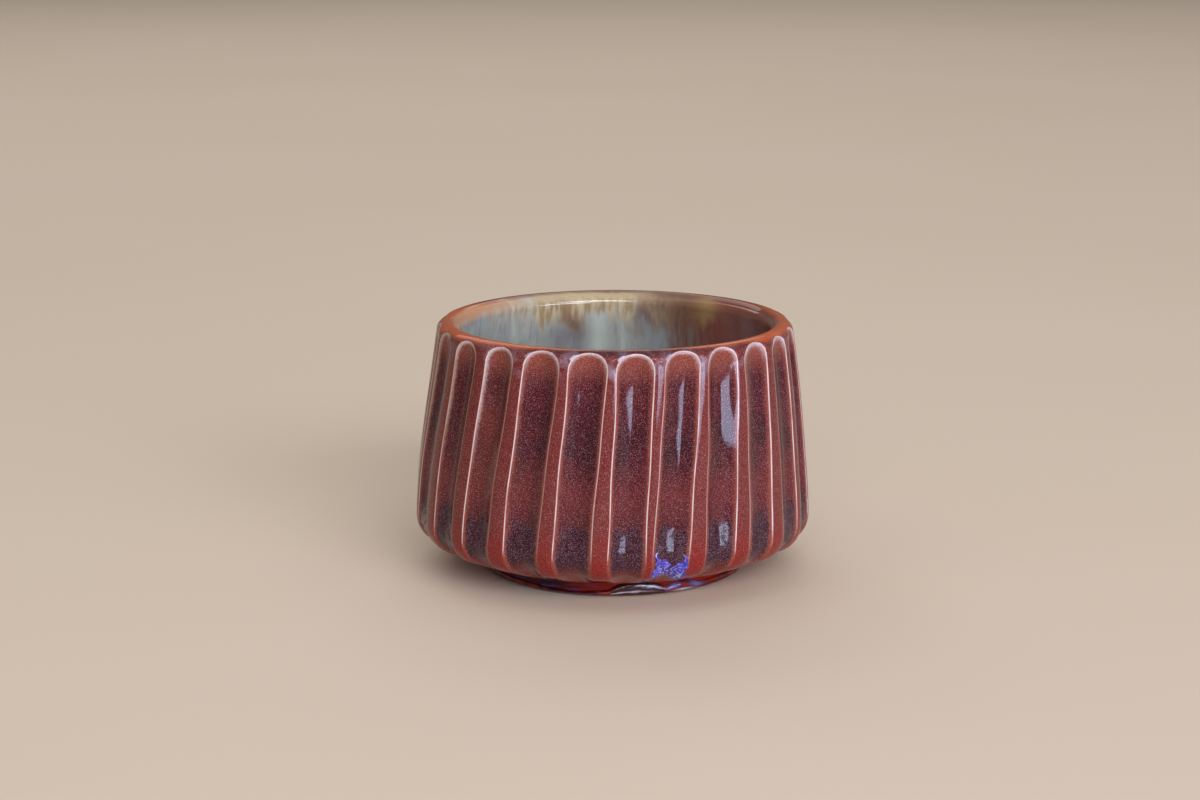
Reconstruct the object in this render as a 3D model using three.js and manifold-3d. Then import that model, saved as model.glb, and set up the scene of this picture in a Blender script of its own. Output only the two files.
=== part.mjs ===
// A small stoneware coffee cup, thrown on the wheel, with slanted flutes carved round its outside.
// Millimetres, +Z up. The origin is the middle of the foot, on the table, and the cup faces -Y.
// Sizes of the form are taken over the glaze; the clay lies one glaze coat further in.

import * as THREE from "three";
import { mergeVertices } from "three/addons/utils/BufferGeometryUtils.js";
import Module from "manifold-3d";

// Outside form
const HEIGHT = 53.3;
const RIM_DIAMETER = 75.4;
const LIP_THICKNESS = 4.8; // the lip is a full round
const BELLY_DIAMETER = 84;
const BELLY_HEIGHT = 12.3; // height of the widest ring
const SWELL_HEIGHT = 21.8; // where the straight upper wall would reach the belly's width
const TURN_RADIUS = 6.2; // round turn from the belly to the underside
const EDGE_DIAMETER = 66.8; // turned edge at which the fluted wall ends
const EDGE_HEIGHT = 4.7;

// Turned foot
const FOOT_DIAMETER = 54;
const FOOT_HEIGHT = 4.4;
const FOOT_RING_WIDTH = 4.5;
const FOOT_CHAMFER = 0.3;
const RECESS_DEPTH = 1.8; // hollow inside the foot ring

// Inside form
const BELLY_WALL = 6.4; // from the belly to the inside
const FLOOR_THICKNESS = 5.6;
const INNER_TURN_RADIUS = 13; // round turn from the floor to the inside wall

// Flutes, cut with a round gouge that enters at the lip and runs out at the turned edge
const FLUTE_COUNT = 24;
const FLUTE_WIDTH = 7.7;
const FLUTE_DEPTH = 1.5;
const EDGE_FLUTE_DEPTH = 0.4; // what is left of a flute at the turned edge
const FLUTE_START = 1.5; // from the lip's crest to the top of the arch, along the wall
const FLUTE_SLANT = 5.5; // degrees that a flute leans on its way down
const FIRST_FLUTE = 6; // degrees from the front
const HAND_WANDER = [0.64, 1.17]; // degrees by which the spacing drifts once and twice round the cup
const HAND_PHASE = [-165, 115]; // degrees
const LEAST_LAND = 0.5; // narrowest ridge left between two flutes

// Glazes
const COAT = 0.6; // glaze coat outside and inside
const SEAT = 0.1; // clearance between a glaze and what it lies on
const GLAZE_STOP = 0.4; // bare height at the bottom of the foot
const BAND_HEIGHT = 5; // second glaze inside the lip
const BAND_THICKNESS = 0.4;
const BAND_RUN = 4.5; // how far its runs reach below it
const ROLL_HEIGHT = 1.5; // glaze that ran down and rolled up round the foot
const ROLL_THICKNESS = 0.8;
const POOL_FLUTE = 1; // the flute that holds the pool, counted to the right of the first
const POOL_LENGTH = 9;
const POOL_WIDTH = 5.6;
const POOL_THICKNESS = 0.7;

// Facets
const ROUND_FACETS = 48;
const INNER_TURN_FACETS = 3;
const INNER_WALL_FACETS = 2;
const INNER_LIP_FACETS = 2;
const WALL_FACETS = 3;
const TURN_FACETS = 3;
const FLUTE_COLUMNS = [-1, -0.5, 0, 0.5, 1]; // across a flute, in half widths
const ARCH_ROWS = [0.12, 0.4, 1]; // down an arch, in half widths

const wasm = await Module();
wasm.setup();

const radians = THREE.MathUtils.degToRad;
const lipRadius = LIP_THICKNESS / 2;
const lipCentre = new THREE.Vector2(RIM_DIAMETER / 2 - lipRadius, HEIGHT - lipRadius);
const bellyRadius = BELLY_DIAMETER / 2;
const footRadius = FOOT_DIAMETER / 2;
const floorHeight = RECESS_DEPTH + FLOOR_THICKNESS;

// A geometry as a closed solid that can be cut and joined, with its faces pointing out.
function solid(geometry) {
  const bare = geometry.clone();
  bare.deleteAttribute("normal");
  bare.deleteAttribute("uv");
  const { attributes, index } = mergeVertices(bare, 1e-4);
  const corner = (i) => new THREE.Vector3().fromBufferAttribute(attributes.position, index.getX(i));
  const corners = [];
  let volume = 0;
  for (let i = 0; i < index.count; i += 3) {
    const face = [index.getX(i), index.getX(i + 1), index.getX(i + 2)];
    if (new Set(face).size === 3) {
      corners.push(...face);
      volume += corner(i).dot(corner(i + 1).cross(corner(i + 2)));
    }
  }
  if (volume < 0) corners.reverse();
  const vertProperties = Float32Array.from(attributes.position.array);
  const triVerts = Uint32Array.from(corners);
  return new wasm.Manifold(new wasm.Mesh({ numProp: 3, vertProperties, triVerts }));
}

// A solid of revolution about Z from a profile of (radius, height) points.
function turned(profile) {
  return solid(new THREE.LatheGeometry(profile, ROUND_FACETS).rotateX(Math.PI / 2));
}

// Rings of points joined into a solid: a closed loop of rings, or a run of rings with a cap at each end.
// From the ring at which a loop returns, quads are split the other way, so that both faces of a coat agree.
function lofted(rings, { isLoop = false, returnsAt = rings.length } = {}) {
  const size = rings[0].length;
  const corners = [];
  const spans = isLoop ? rings.length : rings.length - 1;
  for (let i = 0; i < spans; i += 1) {
    const here = i * size;
    const next = ((i + 1) % rings.length) * size;
    for (let j = 0; j < size; j += 1) {
      const k = (j + 1) % size;
      const [a, b, c, d] = [here + j, next + j, next + k, here + k];
      if (i < returnsAt) corners.push(a, b, c, a, c, d);
      else corners.push(a, b, d, b, c, d);
    }
  }
  if (!isLoop) {
    const last = (rings.length - 1) * size;
    for (let j = 1; j < size - 1; j += 1) {
      corners.push(0, j, j + 1);
      corners.push(last, last + j + 1, last + j);
    }
  }
  const geometry = new THREE.BufferGeometry().setFromPoints(rings.flat());
  geometry.setIndex(corners);
  return solid(geometry);
}

// A profile moved to its right by a distance, each straight of it staying parallel.
function moved(profile, distance) {
  const sides = profile.slice(1).map((point, i) => {
    const along = point.clone().sub(profile[i]).normalize();
    return new THREE.Vector2(along.y, -along.x);
  });
  return profile.map((point, i) => {
    const before = sides[Math.max(i - 1, 0)];
    const after = sides[Math.min(i, sides.length - 1)];
    const mitre = before.clone().add(after).divideScalar(1 + before.dot(after));
    return point.clone().addScaledVector(mitre, distance);
  });
}

// The angle at which a line from a point touches a circle, on its anticlockwise side (turn 1) or other (-1).
function touchAngle(centre, radius, point, turn) {
  const reach = point.clone().sub(centre);
  return reach.angle() + turn * Math.acos(radius / reach.length());
}

// Outside profile, from the lip's crest over the belly to the end of the glaze on the foot.
const swell = new THREE.Vector2(bellyRadius, SWELL_HEIGHT);
const turnCentre = new THREE.Vector2(bellyRadius - TURN_RADIUS, BELLY_HEIGHT);
const edge = new THREE.Vector2(EDGE_DIAMETER / 2, EDGE_HEIGHT);
const wallTouch = touchAngle(lipCentre, lipRadius, swell, 1);
const turnTouch = touchAngle(turnCentre, TURN_RADIUS, edge, 1);
const outside = new THREE.Path();
outside.absarc(lipCentre.x, lipCentre.y, lipRadius, Math.PI / 2, wallTouch, true);
outside.quadraticCurveTo(swell.x, swell.y, bellyRadius, BELLY_HEIGHT);
const turnStart = outside.getLength();
outside.absarc(turnCentre.x, turnCentre.y, TURN_RADIUS, 0, turnTouch, true);
outside.updateArcLengths();
const turnEnd = outside.getLength();
outside.lineTo(edge.x, edge.y);
outside.updateArcLengths();
const flutedEnd = outside.getLength();
outside.lineTo(footRadius, FOOT_HEIGHT);
outside.updateArcLengths();
const undersideEnd = outside.getLength();
outside.lineTo(footRadius, GLAZE_STOP);
outside.updateArcLengths();

// Inside profile, from the middle of the floor up to the lip's crest.
const innerRadius = bellyRadius - BELLY_WALL;
const innerTurnTop = floorHeight + INNER_TURN_RADIUS;
const innerSwell = new THREE.Vector2(innerRadius, innerTurnTop + 0.3 * (lipCentre.y - innerTurnTop));
const innerTouch = touchAngle(lipCentre, lipRadius, innerSwell, -1);
const innerTurn = new THREE.EllipseCurve(
  innerRadius - INNER_TURN_RADIUS, innerTurnTop, INNER_TURN_RADIUS, INNER_TURN_RADIUS, -Math.PI / 2, 0,
);
const innerLip = new THREE.EllipseCurve(
  lipCentre.x, lipCentre.y, lipRadius, lipRadius, innerTouch, Math.PI / 2, true,
);
const innerWall = new THREE.QuadraticBezierCurve(innerTurn.getPoint(1), innerSwell, innerLip.getPoint(0));
const insideProfile = [
  new THREE.Vector2(0, floorHeight),
  ...innerTurn.getPoints(INNER_TURN_FACETS),
  ...innerWall.getPoints(INNER_WALL_FACETS).slice(1),
  ...innerLip.getPoints(INNER_LIP_FACETS).slice(1),
];

// Rows of the fluted outside, as lengths along it from the crest.
const archLength = FLUTE_WIDTH / 2;
const archRows = ARCH_ROWS.map((share) => FLUTE_START + share * archLength);
const between = (start, end, count) => (
  Array.from({ length: count }, (_, i) => THREE.MathUtils.lerp(start, end, (i + 1) / count))
);
const outsideRows = [
  FLUTE_START,
  ...archRows,
  ...between(archRows.at(-1), turnStart, WALL_FACETS),
  ...between(turnStart, turnEnd, TURN_FACETS),
  flutedEnd,
  undersideEnd,
  outside.getLength(),
];
const outsideProfile = outsideRows.map((row) => outside.getPointAt(row / outside.getLength()));

// Flutes: the gouge is a round of this radius, plunged in at the lip so that it leaves a round arch.
const gougeRadius = (archLength ** 2 + FLUTE_DEPTH ** 2) / (2 * FLUTE_DEPTH);

function fluteAngle(index) {
  const turn = FIRST_FLUTE + (360 * index) / FLUTE_COUNT;
  const drift = HAND_WANDER.map((size, k) => size * Math.sin(radians((k + 1) * turn + HAND_PHASE[k])));
  return radians(turn + drift[0] + drift[1]);
}

function fluteDepth(row) {
  if (row > flutedEnd) return 0;
  const entry = THREE.MathUtils.clamp((row - FLUTE_START) / archLength, 0, 1);
  const halfWidth = archLength * Math.sqrt(1 - (1 - entry) ** 2);
  const runout = Math.max((row - turnStart) / (flutedEnd - turnStart), 0);
  const lift = (FLUTE_DEPTH - EDGE_FLUTE_DEPTH) * runout ** 2;
  return gougeRadius - Math.sqrt(gougeRadius ** 2 - halfWidth ** 2) - lift;
}

function fluteLean(row) {
  const travel = THREE.MathUtils.clamp((row - FLUTE_START) / (flutedEnd - FLUTE_START), 0, 1);
  return radians(FLUTE_SLANT) * travel;
}

// One ring of the cup's surface, the given distance under the glaze, with a flute pressed into it at the row.
const profile = [...insideProfile, ...outsideProfile];
const crest = insideProfile.length - 1;

function surfaceRing(index, under) {
  const base = moved(profile, under)[index];
  const inward = moved(profile, 1)[index].sub(profile[index]).normalize();
  const row = index > crest ? outsideRows[index - crest - 1] : 0;
  const depth = fluteDepth(row);
  const radius = gougeRadius + under;
  const gap = Math.PI / FLUTE_COUNT - LEAST_LAND / (2 * base.x);
  const half = Math.min(Math.sqrt(2 * radius * depth - depth ** 2) / base.x, gap);
  const points = [];
  for (let i = 0; i < FLUTE_COUNT; i += 1) {
    for (const column of FLUTE_COLUMNS) {
      const plain = (column * 2 * Math.PI * 2) / (FLUTE_COUNT * FLUTE_COLUMNS.length);
      const offset = depth > 0 ? column * half : plain;
      const sink = Math.max(Math.sqrt(radius ** 2 - (offset * base.x) ** 2) - radius + depth, 0);
      const { x, y } = base.clone().addScaledVector(inward, depth > 0 ? sink : 0);
      const angle = fluteAngle(i) - fluteLean(row) + offset;
      points.push(new THREE.Vector3(x * Math.sin(angle), -x * Math.cos(angle), y));
    }
  }
  return points;
}

// A plain ring with the same columns, for the foot.
function plainRing(radius, height) {
  const model = surfaceRing(profile.length - 1, 0);
  return model.map(({ x, y }) => new THREE.Vector3(x, y, 0).setLength(radius).setZ(height));
}

const rowsFrom = (start, under) => profile.slice(start).map((_, i) => surfaceRing(start + i, under));

// Clay: floor, wall, lip and foot ring in one lump, with the flutes carved in.
const clayInset = COAT + SEAT;
const clayFoot = footRadius - clayInset;
const clay = lofted([
  plainRing(0, floorHeight - clayInset),
  ...rowsFrom(1, clayInset),
  plainRing(clayFoot, FOOT_CHAMFER),
  plainRing(clayFoot - FOOT_CHAMFER, 0),
  plainRing(clayFoot - FOOT_RING_WIDTH + FOOT_CHAMFER, 0),
  plainRing(clayFoot - FOOT_RING_WIDTH - FOOT_CHAMFER, RECESS_DEPTH),
  plainRing(0, RECESS_DEPTH),
]);

// Outside glaze: the coat from the crest to the foot, with the flutes on both its faces.
const coatFace = rowsFrom(crest, 0);
const coatBack = rowsFrom(crest, COAT).reverse();
const outerGlaze = lofted([...coatFace, ...coatBack], { isLoop: true, returnsAt: coatFace.length });

// Liner glaze: the coat on the floor and the inside wall, up to the outside glaze's edge.
const linerEnd = new THREE.Vector2(lipCentre.x - SEAT, HEIGHT);
const linerFace = [...insideProfile.slice(0, -1), linerEnd];
const linerBack = moved(insideProfile, COAT).slice(0, -1);
linerBack[0].x = 0;
const linerGlaze = turned([
  ...linerFace,
  linerEnd.clone().setY(HEIGHT - COAT),
  ...linerBack.reverse(),
]);

// Sections set round the cup as the rings of a closed loop.
function aroundCup(sectionAt) {
  const rings = between(0, 2 * Math.PI, ROUND_FACETS).map((angle) => (
    sectionAt(angle).map(({ x, y }) => new THREE.Vector3(x * Math.sin(angle), -x * Math.cos(angle), y))
  ));
  return lofted(rings, { isLoop: true });
}

// Band of a second glaze on the liner below the lip, thin at its edges, with runs down its lower edge.
const wallLine = new THREE.Path(innerWall.getPoints(INNER_WALL_FACETS));
const rimBand = aroundCup((angle) => {
  const waves = Math.sin(5 * angle + 1.1) + Math.sin(9 * angle + 2.3) + Math.sin(14 * angle);
  const length = BAND_HEIGHT + BAND_RUN * Math.max(waves / 3, 0);
  const shares = [1, 0.8, 0.2, 0].map((share) => 1 - (share * length) / wallLine.getLength());
  const face = shares.map((share) => wallLine.getPointAt(share));
  const back = moved(face, -SEAT);
  const front = moved(face, -SEAT - BAND_THICKNESS);
  return [...back, ...front.slice(1, -1).reverse()];
});

// Roll of glaze round the foot, thickest at three places where most of it ran down.
const footRoll = aroundCup((angle) => {
  const swelling = 0.75 + 0.25 * Math.cos(3 * angle);
  return [-1, -0.6, 0, 0.6, 1].map((share) => new THREE.Vector2(
    footRadius + SEAT + ROLL_THICKNESS * swelling * Math.sqrt(1 - share ** 2),
    GLAZE_STOP + (ROLL_HEIGHT * (1 + share)) / 2,
  ));
});

// Pool in one flute, over the belly's turn: a flat drop, cut off at the flute's own surface.
const poolRow = THREE.MathUtils.lerp(turnStart, turnEnd, 0.3);
const poolShare = poolRow / outside.getLength();
const poolAngle = fluteAngle(POOL_FLUTE) - fluteLean(poolRow);
const poolSlope = outside.getTangentAt(poolShare);
const poolPlace = outside.getPointAt(poolShare);
const poolOut = new THREE.Vector2(-poolSlope.y, poolSlope.x);
poolPlace.addScaledVector(poolOut, -fluteDepth(poolRow));
const drop = new THREE.SphereGeometry(1, 16, 10);
drop.scale(POOL_THICKNESS, POOL_WIDTH / 2, POOL_LENGTH / 2);
drop.rotateY(-poolOut.angle());
drop.translate(poolPlace.x, 0, poolPlace.y);
drop.rotateZ(poolAngle - Math.PI / 2);
const flutePool = solid(drop).subtract(lofted(rowsFrom(crest, -SEAT)));

const cup = new THREE.Group();
cup.name = "cortado_cup";

function addPiece(name, shape, color, roughness) {
  const { vertProperties, triVerts } = shape.getMesh();
  const geometry = new THREE.BufferGeometry();
  geometry.setAttribute("position", new THREE.BufferAttribute(vertProperties, 3));
  geometry.setIndex(new THREE.BufferAttribute(triVerts, 1));
  geometry.computeVertexNormals();
  const piece = new THREE.Mesh(geometry, new THREE.MeshStandardMaterial({ color, roughness, metalness: 0 }));
  piece.name = name;
  cup.add(piece);
}

addPiece("stoneware_body", clay, "#9a7a5e", 0.9);
addPiece("outer_glaze", outerGlaze, "#5a2a24", 0.3);
addPiece("liner_glaze", linerGlaze, "#a9b3ae", 0.25);
addPiece("rim_glaze_band", rimBand, "#9b6a3a", 0.3);
addPiece("flute_glaze_pool", flutePool, "#8583b5", 0.2);
addPiece("foot_glaze_roll", footRoll, "#55252c", 0.25);

export default cup;
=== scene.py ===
"""A small fluted stoneware cup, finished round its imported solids.

Sizes are millimetres unless a name ends in _M. A row is a length down the outside wall from the lip's crest.
"""

import math

import bpy
import numpy as np
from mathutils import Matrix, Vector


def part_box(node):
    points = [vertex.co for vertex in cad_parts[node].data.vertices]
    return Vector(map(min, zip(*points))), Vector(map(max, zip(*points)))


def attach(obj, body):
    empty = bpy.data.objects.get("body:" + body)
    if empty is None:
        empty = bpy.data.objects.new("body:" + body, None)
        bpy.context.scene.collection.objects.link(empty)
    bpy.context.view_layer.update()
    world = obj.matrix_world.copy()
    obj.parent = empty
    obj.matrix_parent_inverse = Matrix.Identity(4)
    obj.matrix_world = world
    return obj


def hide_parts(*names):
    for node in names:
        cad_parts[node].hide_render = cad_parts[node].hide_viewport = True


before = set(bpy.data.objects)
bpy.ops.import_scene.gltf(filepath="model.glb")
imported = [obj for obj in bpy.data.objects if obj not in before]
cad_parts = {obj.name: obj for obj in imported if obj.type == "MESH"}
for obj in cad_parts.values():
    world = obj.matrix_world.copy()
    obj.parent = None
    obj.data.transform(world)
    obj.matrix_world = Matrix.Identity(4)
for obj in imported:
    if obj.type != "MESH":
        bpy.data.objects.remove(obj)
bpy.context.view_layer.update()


# Stoneware body
# One lump of brown clay, thrown on the wheel and turned: floor, wall, full round lip and foot ring, with
# flutes cut round the outside by hand. Only the ring's sole and the hollow inside it stay bare and matt.
MM = 0.001
CUP_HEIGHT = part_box("outer_glaze")[1].z / MM
LIP_RADIUS = 2.4
LIP_CENTRE = (35.3, CUP_HEIGHT - LIP_RADIUS)
BELLY_RADIUS = 42.0
BELLY_HEIGHT = 12.3
SWELL_HEIGHT = 21.8
TURN_RADIUS = 6.2
EDGE = (33.4, 4.7)  # the turned edge below the flutes
FOOT_TOP = (27.0, 4.4)
GLAZE_STOP = (27.0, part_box("outer_glaze")[0].z / MM)
FLOOR_HEIGHT = 7.4
INNER_RADIUS = 35.6
INNER_TURN = 13.0
INNER_SWELL = 9.15  # above the inner turn
COAT = 0.6
SEAT = 0.1
FOOT_RING_WIDTH = 4.5
FOOT_CHAMFER = 0.5
RECESS_DEPTH = 1.8
RECESS_CORNER = 1.5
EDGE_ROUND = 0.7
FOOT_ROUND = 1.2
TURNING_RIDGE = 0.05  # left by the turning tool in the recess
TURNING_PACE = 2.2
CURVE_STEPS = 60
CORNER_STEPS = 12
MERGE = 0.004  # points nearer than this are one

FLUTES = 24
FLUTE_WIDTH = 7.7
FLUTE_DEPTH = 1.57
EDGE_FLUTE_DEPTH = 0.2
GOUGE_TIP = 3.65  # radius of the round tip
GOUGE_FLANK = 0.95  # slope that its sides run out to
FLUTE_START = 1.5  # row
FLUTE_SLANT = 4.5  # degrees over the length of a flute
FIRST_FLUTE = 5.8  # degrees to the right of the front
RUN_IN = 7.5  # length over which the gouge goes down to its full depth
RUN_IN_DEPTH = 0.88  # share of that depth at the arch
RUN_OUT_LIFT = 2.0  # lifts the gouge clear of the wall below the turned edge
EDGE_WOBBLE = (0.02, 0.31, 2.2)  # share of the width, pace down the wall and from flute to flute
ARCH_WOBBLE = (0.3, 5.1)  # height, pace from flute to flute
HAND_WANDER = ((1, 0.64, -165.0), (2, 1.17, 115.0))  # waves round the cup, degrees, phase
HAND_SLANT = {-4: 0.1, -3: 1.2, -2: 0.4, -1: -0.1, 0: -1.3, 1: 2.1, 2: 0.6, 3: -0.8, 4: -2.3}  # degrees
HAND_WIDTH = {-4: 0.96, -3: 0.96, -2: 1.05, -1: 1.04, 0: 1.01, 1: 1.02, 2: 0.98, 3: 0.97, 4: 0.94}
HAND_DEPTH = {-4: 1.0, -3: 1.0, -2: 1.0, -1: 1.0, 0: 1.0, 1: 1.0, 2: 1.06, 3: 0.68, 4: 0.75}
SLANT_WAVE = (0, 1.2, 2.4)  # of the other flutes: usual size, swing, pace from flute to flute
WIDTH_WAVE = (1, 0.05, 1.7)
DEPTH_WAVE = (1, 0.06, 2.9)
SLANT_PIVOT = 0.2  # share of a flute's length about which its own slant turns
BELLY_LEAN = -0.5  # the belly was thrown a little off the axis
LEAN_FOOT = (2, 13)  # heights between which the lean sets in
LEAN_LIP = (47, 20)
CLAY_COLUMNS = (-1.1, -0.96, -0.6, 0, 0.6, 0.96, 1.1)  # across a flute, in half widths
CLAY_SOFTNESS = 0.1
CARVE_START = -0.5  # row where a cut may begin
ON_RING = 0.01  # points nearer than this to the fluted wall belong to it
ARCH_SPREAD = 0.42  # share of a flute's width that its columns keep above the arch
FLUTE_ROOM = 0.96  # share of the way to the next flute that the columns of both may take


def touch(centre, radius, point, side):
    """The angle in degrees at which a line from a point touches a round, on its left (1) or right (-1)."""
    reach = np.subtract(point, centre)
    return math.degrees(math.atan2(reach[1], reach[0]) + side * math.acos(radius / np.hypot(*reach)))


def arc(centre, radius, start, end, steps=CURVE_STEPS):
    """Points on a round, from one angle to another in degrees."""
    turn = np.radians(np.linspace(start, end, steps + 1))
    return np.column_stack([centre[0] + radius * np.cos(turn), centre[1] + radius * np.sin(turn)])


def bend(start, corner, end, steps=CURVE_STEPS):
    """Points on a smooth bend that leaves and arrives along the two sides of a corner."""
    start, corner, end = (np.array(point, float) for point in (start, corner, end))
    t = np.linspace(0, 1, steps + 1)[:, None]
    return (1 - t) ** 2 * start + 2 * t * (1 - t) * corner + t**2 * end


def softened(before, corner, after, reach):
    """A corner with its point taken off over a short reach."""
    corner = np.array(corner, float)
    sides = [np.subtract(side, corner) / np.hypot(*np.subtract(side, corner)) for side in (before, after)]
    return bend(corner + sides[0] * reach, corner, corner + sides[1] * reach, CORNER_STEPS)


def lengths(points):
    """How far along a profile each of its points lies."""
    return np.concatenate([[0], np.cumsum(np.hypot(*np.diff(points, axis=0).T))])


def at(points, rows):
    """The points of a profile at given lengths along it."""
    along = lengths(points)
    return np.column_stack([np.interp(rows, along, points[:, k]) for k in (0, 1)])


def right_of(points, rows, probe=0.05):
    """The unit direction to the right of a profile at given lengths along it."""
    step = at(points, np.asarray(rows) + probe) - at(points, np.asarray(rows) - probe)
    step /= np.hypot(*step.T)[:, None]
    return np.column_stack([step[:, 1], -step[:, 0]])


def smooth(value, low, high):
    """0 at low and 1 at high, with a soft S between."""
    share = np.clip((np.asarray(value, float) - low) / (high - low), 0, 1)
    return share * share * (3 - 2 * share)


lip_to_wall = touch(LIP_CENTRE, LIP_RADIUS, (BELLY_RADIUS, SWELL_HEIGHT), 1)
inner_swell = (INNER_RADIUS, FLOOR_HEIGHT + INNER_TURN + INNER_SWELL)
lip_to_inside = 360 + touch(LIP_CENTRE, LIP_RADIUS, inner_swell, -1)
turn_centre = (BELLY_RADIUS - TURN_RADIUS, BELLY_HEIGHT)
turn_end = touch(turn_centre, TURN_RADIUS, EDGE, 1)
lip = arc(LIP_CENTRE, LIP_RADIUS, lip_to_inside, lip_to_wall)
turn = arc(turn_centre, TURN_RADIUS, 0, turn_end)
outside = np.concatenate([
    lip,
    bend(lip[-1], (BELLY_RADIUS, SWELL_HEIGHT), (BELLY_RADIUS, BELLY_HEIGHT))[1:],
    turn[1:],
    softened(turn[-1], EDGE, FOOT_TOP, EDGE_ROUND),
    softened(EDGE, FOOT_TOP, GLAZE_STOP, FOOT_ROUND),
    [GLAZE_STOP],
])
inside = np.concatenate([
    [(0.0, FLOOR_HEIGHT)],
    arc((INNER_RADIUS - INNER_TURN, FLOOR_HEIGHT + INNER_TURN), INNER_TURN, -90, 0),
    bend((INNER_RADIUS, FLOOR_HEIGHT + INNER_TURN), inner_swell, lip[0])[1:],
    arc(LIP_CENTRE, LIP_RADIUS, lip_to_inside, 90)[1:],
])
crest = LIP_RADIUS * math.radians(lip_to_inside - 90)  # how far along the outside's profile row 0 lies
belly_row = lengths(outside)[len(lip) + CURVE_STEPS - 1] - crest
edge_row = belly_row + TURN_RADIUS * math.radians(-turn_end) + math.dist(turn[-1], EDGE)
coat_end = lengths(outside)[-1] - crest


def turned(name, profile, steps, is_ring=False, faces_in=False):
    """A new piece, spun on the wheel's axis from a profile of (radius, height) points."""
    bpy.ops.object.select_all(action="DESELECT")
    bpy.ops.mesh.primitive_plane_add(size=MM)
    piece = bpy.context.object
    piece.name = name
    piece.data.name = name
    bpy.ops.object.mode_set(mode="EDIT")
    bpy.ops.mesh.select_all(action="SELECT")
    bpy.ops.mesh.merge(type="CENTER")
    here = np.zeros(2)
    for count, point in enumerate([*profile, profile[0]] if is_ring else profile):
        step = (np.array(point) - here) * MM
        move = (step[0], 0, step[1])
        if count:
            bpy.ops.mesh.extrude_vertices_move(TRANSFORM_OT_translate={"value": move})
        else:
            bpy.ops.transform.translate(value=move)
        here = np.array(point)
    bpy.ops.mesh.select_all(action="SELECT")
    bpy.ops.mesh.spin(steps=steps, angle=2 * math.pi, center=(0, 0, 0), axis=(0, 0, 1))
    bpy.ops.mesh.select_all(action="SELECT")
    bpy.ops.mesh.remove_doubles(threshold=MERGE * MM)
    bpy.ops.mesh.normals_make_consistent(inside=faces_in)
    bpy.ops.object.mode_set(mode="OBJECT")
    bpy.ops.object.shade_smooth()
    return piece


def points_of(piece):
    """A piece's points in millimetres."""
    flat = np.empty(len(piece.data.vertices) * 3)
    piece.data.vertices.foreach_get("co", flat)
    return flat.reshape(-1, 3) / MM


def set_points(piece, points):
    """Puts a piece's points back, with the belly's small lean."""
    points = points.copy()
    points[:, 0] += BELLY_LEAN * smooth(points[:, 2], *LEAN_FOOT) * smooth(points[:, 2], *LEAN_LIP)
    piece.data.vertices.foreach_set("co", (points * MM).ravel())
    piece.data.update()


def around(angle, radius, height):
    """Points at angles in radians from the front, towards the right hand."""
    return np.column_stack([radius * np.sin(angle), -radius * np.cos(angle), height])


def nearest(points, profile):
    """Which point of its profile each point of a turned piece was spun from, and how far off it lies."""
    radius = np.hypot(points[:, 0], points[:, 1])
    far = np.hypot(radius[:, None] - profile[:, 0], points[:, 2, None] - profile[:, 1])
    return far.argmin(axis=1), far.min(axis=1)


def from_front(flute):
    """A flute's number counted from the front, with those to the left of it below 0."""
    return (np.asarray(flute) + FLUTES // 2) % FLUTES - FLUTES // 2


def by_hand(flute, sizes, usual, swing, pace):
    """What the hand did to each flute: a size for those named, and for the others a small wave."""
    waved = {k: usual + swing * math.sin(pace * k) for k in range(-FLUTES // 2, FLUTES // 2)}
    return np.array(list({**waved, **sizes}.values()))[from_front(flute) + FLUTES // 2]


def half_width(flute):
    """Half of a flute's width below its arch."""
    return by_hand(flute, HAND_WIDTH, *WIDTH_WAVE) * FLUTE_WIDTH / 2


def middle(flute, row):
    """The angle of a flute's middle line at a row, in radians."""
    nominal = FIRST_FLUTE + 360 * from_front(flute) / FLUTES
    wander = sum(size * np.sin(np.radians(waves * nominal + phase)) for waves, size, phase in HAND_WANDER)
    travel = np.clip((row - FLUTE_START) / (edge_row - FLUTE_START), 0, 1)
    own_slant = by_hand(flute, HAND_SLANT, *SLANT_WAVE) * (travel - SLANT_PIVOT)
    return np.radians(nominal + wander - FLUTE_SLANT * travel - own_slant)


def gouge(flute, across, row, under):
    """How deep the gouge cuts below the wall: above 0 in a flute, below 0 beside it and over its arch."""
    wobble, pace, shift = EDGE_WOBBLE
    half = half_width(flute) * (1 + wobble * np.sin(pace * row + shift * np.asarray(flute)))
    arch = FLUTE_START + ARCH_WOBBLE[0] * np.sin(ARCH_WOBBLE[1] * np.asarray(flute))
    entry = np.minimum((row - arch) / half, 1)
    reach = half**2 * (1 - (1 - entry) ** 2)
    tip = GOUGE_TIP * GOUGE_FLANK**2
    full = np.sqrt(GOUGE_FLANK**2 * np.maximum(reach, 0) + tip**2) - tip
    top = np.where(reach > 0, full, reach / (2 * GOUGE_TIP))
    runout = np.clip((row - belly_row) / (edge_row - belly_row), 0, 1)
    lift = (FLUTE_DEPTH - EDGE_FLUTE_DEPTH) * runout**2
    lift = lift + RUN_OUT_LIFT * smooth(row, edge_row - 0.5, edge_row + 1)
    blade = tip + under * GOUGE_FLANK**2
    share = by_hand(flute, HAND_DEPTH, *DEPTH_WAVE)
    share = share * (RUN_IN_DEPTH + (1 - RUN_IN_DEPTH) * smooth(row, arch, arch + RUN_IN))
    return share * (top - np.hypot(GOUGE_FLANK * across, blade) + blade - lift)


def eased(depth, softness):
    """A cut's depth with its sharp edges eased, and next to nothing outside it."""
    return (depth + np.sqrt(depth**2 + softness**2)) / 2


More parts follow.
